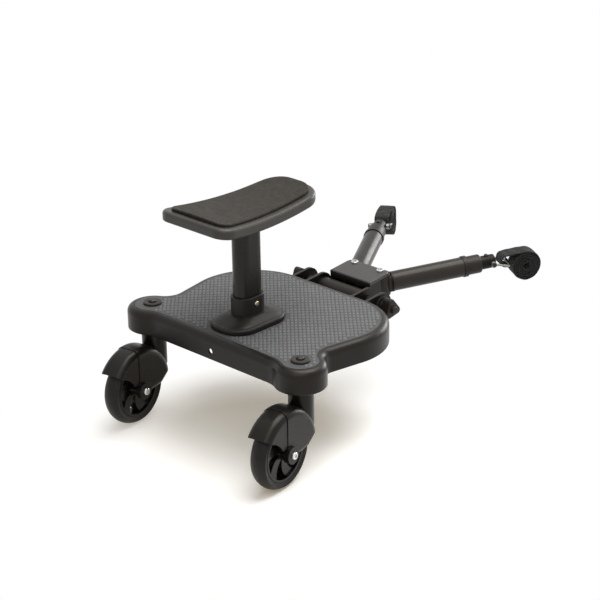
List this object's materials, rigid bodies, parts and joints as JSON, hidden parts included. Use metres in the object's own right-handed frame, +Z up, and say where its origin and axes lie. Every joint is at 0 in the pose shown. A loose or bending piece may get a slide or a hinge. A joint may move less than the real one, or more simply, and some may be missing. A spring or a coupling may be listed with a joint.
{
  "type": "buggy board",
  "caption": "Ride-on board for a buggy: moulded deck on swivel casters, saddle seat on a post, and a hinged hub with telescopic arms that end in rolled straps.",
  "frame": {"origin": "on the floor, below the middle of the whole board's box", "axes": "+X to the right of a child facing the buggy, +Y forward to the buggy, along the arms, +Z up"},
  "size_m": [0.382, 0.6557, 0.3649],
  "materials": {
    "moulded_black": "moulded, fine grain",
    "satin_black": "satin",
    "mat": "matt, fine grid",
    "cap": "matt",
    "bush": "natural nylon",
    "steel": "zinc plated",
    "button": "satin",
    "cover": "satin grey",
    "painted_tube": "satin black",
    "foam": "matt foam",
    "webbing": "woven",
    "rim": "moulded",
    "tyre": "matt"
  },
  "bodies": {
    "deck": {"deck_shell": "moulded_black", "grip_mat": "mat", "caster_bushes": "bush", "cap_washers": "cap", "hinge_axle": "steel", "hinge_spacers": "moulded_black", "hinge_washers": "moulded_black", "seat_socket": "satin_black", "socket_screws": "steel", "seat_post": "satin_black", "seat_pan": "moulded_black", "seat_pad": "foam", "seat_cross_pin": "satin_black", "seat_spring": "steel"},
    "snap_button": {"seat_button": "button"},
    "hub": {"hub_housing": "moulded_black", "hub_cover": "cover", "hub_bushes": "bush", "pivot_bolts": "steel", "pivot_nuts": "steel"},
    "knob_left": {"hinge_knob_left": "moulded_black"},
    "arm_left": {"arm_root_left": "moulded_black", "arm_tube_left": "painted_tube", "root_pin_left": "steel", "arm_collar_left": "moulded_black"},
    "slide_left": {"inner_tube_left": "painted_tube", "tube_plug_left": "moulded_black", "bail_pin_left": "steel", "lock_spring_left": "steel"},
    "lock_left": {"lock_button_left": "steel"},
    "loop_left": {"bail_left": "steel", "strap_left": "webbing"},
    "caster_left": {"fork_left": "moulded_black", "fender_left": "moulded_black", "stem_bolt_left": "steel", "axle_bolt_left": "steel"},
    "wheel_left": {"wheel_rim_left": "rim", "tyre_left": "tyre", "wheel_bushes_left": "bush"},
    "knob_right": {"hinge_knob_right": "moulded_black"},
    "arm_right": {"arm_root_right": "moulded_black", "arm_tube_right": "painted_tube", "root_pin_right": "steel", "arm_collar_right": "moulded_black"},
    "slide_right": {"inner_tube_right": "painted_tube", "tube_plug_right": "moulded_black", "bail_pin_right": "steel", "lock_spring_right": "steel"},
    "lock_right": {"lock_button_right": "steel"},
    "loop_right": {"bail_right": "steel", "strap_right": "webbing"},
    "caster_right": {"fork_right": "moulded_black", "fender_right": "moulded_black", "stem_bolt_right": "steel", "axle_bolt_right": "steel"},
    "wheel_right": {"wheel_rim_right": "rim", "tyre_right": "tyre", "wheel_bushes_right": "bush"}
  },
  "joints": [
    {"name": "seat_button_press", "type": "slide", "parent": "deck", "child": "snap_button", "axis": [-1, 0, 0], "range_m": [0, 0.0055], "stiffness_N_per_m": 900, "deforming": ["seat_spring"]},
    {"name": "hub_pitch", "type": "hinge", "parent": "deck", "child": "hub", "pos_m": [0, 0.0361, 0.153], "axis": [1, 0, 0], "range_deg": [-25, 75]},
    {"name": "caster_left_swivel", "type": "hinge", "parent": "deck", "child": "caster_left", "pos_m": [-0.153, -0.2204, 0.1725], "axis": [0, 0, 1], "continuous": true},
    {"name": "wheel_left_spin", "type": "hinge", "parent": "caster_left", "child": "wheel_left", "pos_m": [-0.1452, -0.27323, 0.055], "axis": [0.9893, 0.1461, 0], "continuous": true},
    {"name": "knob_left_turn", "type": "hinge", "parent": "deck", "child": "knob_left", "pos_m": [-0.095, 0.0361, 0.153], "axis": [-1, 0, 0], "continuous": true},
    {"name": "arm_left_yaw", "type": "hinge", "parent": "hub", "child": "arm_left", "pos_m": [-0.0263, 0.09186, 0.15817], "axis": [0, -0.0924, 0.9957], "range_deg": [-20, 15]},
    {"name": "arm_left_extend", "type": "slide", "parent": "arm_left", "child": "slide_left", "axis": [-0.4939, 0.8658, 0.0803], "range_m": [0, 0.055]},
    {"name": "lock_left_press", "type": "slide", "parent": "slide_left", "child": "lock_left", "axis": [0, 0.0924, -0.9957], "range_m": [0, 0.0024], "stiffness_N_per_m": 700, "deforming": ["lock_spring_left"]},
    {"name": "bail_left_swing", "type": "hinge", "parent": "slide_left", "child": "loop_left", "pos_m": [-0.11669, 0.2503, 0.17287], "axis": [0.8695, 0.4918, 0.0456], "range_deg": [-45, 40]},
    {"name": "caster_right_swivel", "type": "hinge", "parent": "deck", "child": "caster_right", "pos_m": [0.153, -0.2204, 0.1725], "axis": [0, 0, 1], "continuous": true},
    {"name": "wheel_right_spin", "type": "hinge", "parent": "caster_right", "child": "wheel_right", "pos_m": [0.1608, -0.27323, 0.055], "axis": [0.9893, 0.1461, 0], "continuous": true},
    {"name": "knob_right_turn", "type": "hinge", "parent": "deck", "child": "knob_right", "pos_m": [0.095, 0.0361, 0.153], "axis": [1, 0, 0], "continuous": true},
    {"name": "arm_right_yaw", "type": "hinge", "parent": "hub", "child": "arm_right", "pos_m": [0.0263, 0.09186, 0.15817], "axis": [0, 0.0924, -0.9957], "range_deg": [-20, 15]},
    {"name": "arm_right_extend", "type": "slide", "parent": "arm_right", "child": "slide_right", "axis": [0.4939, 0.8658, 0.0803], "range_m": [0, 0.055]},
    {"name": "lock_right_press", "type": "slide", "parent": "slide_right", "child": "lock_right", "axis": [0, 0.0924, -0.9957], "range_m": [0, 0.0024], "stiffness_N_per_m": 700, "deforming": ["lock_spring_right"]},
    {"name": "bail_right_swing", "type": "hinge", "parent": "slide_right", "child": "loop_right", "pos_m": [0.11669, 0.2503, 0.17287], "axis": [0.8695, -0.4918, -0.0456], "range_deg": [-45, 40]}
  ]
}
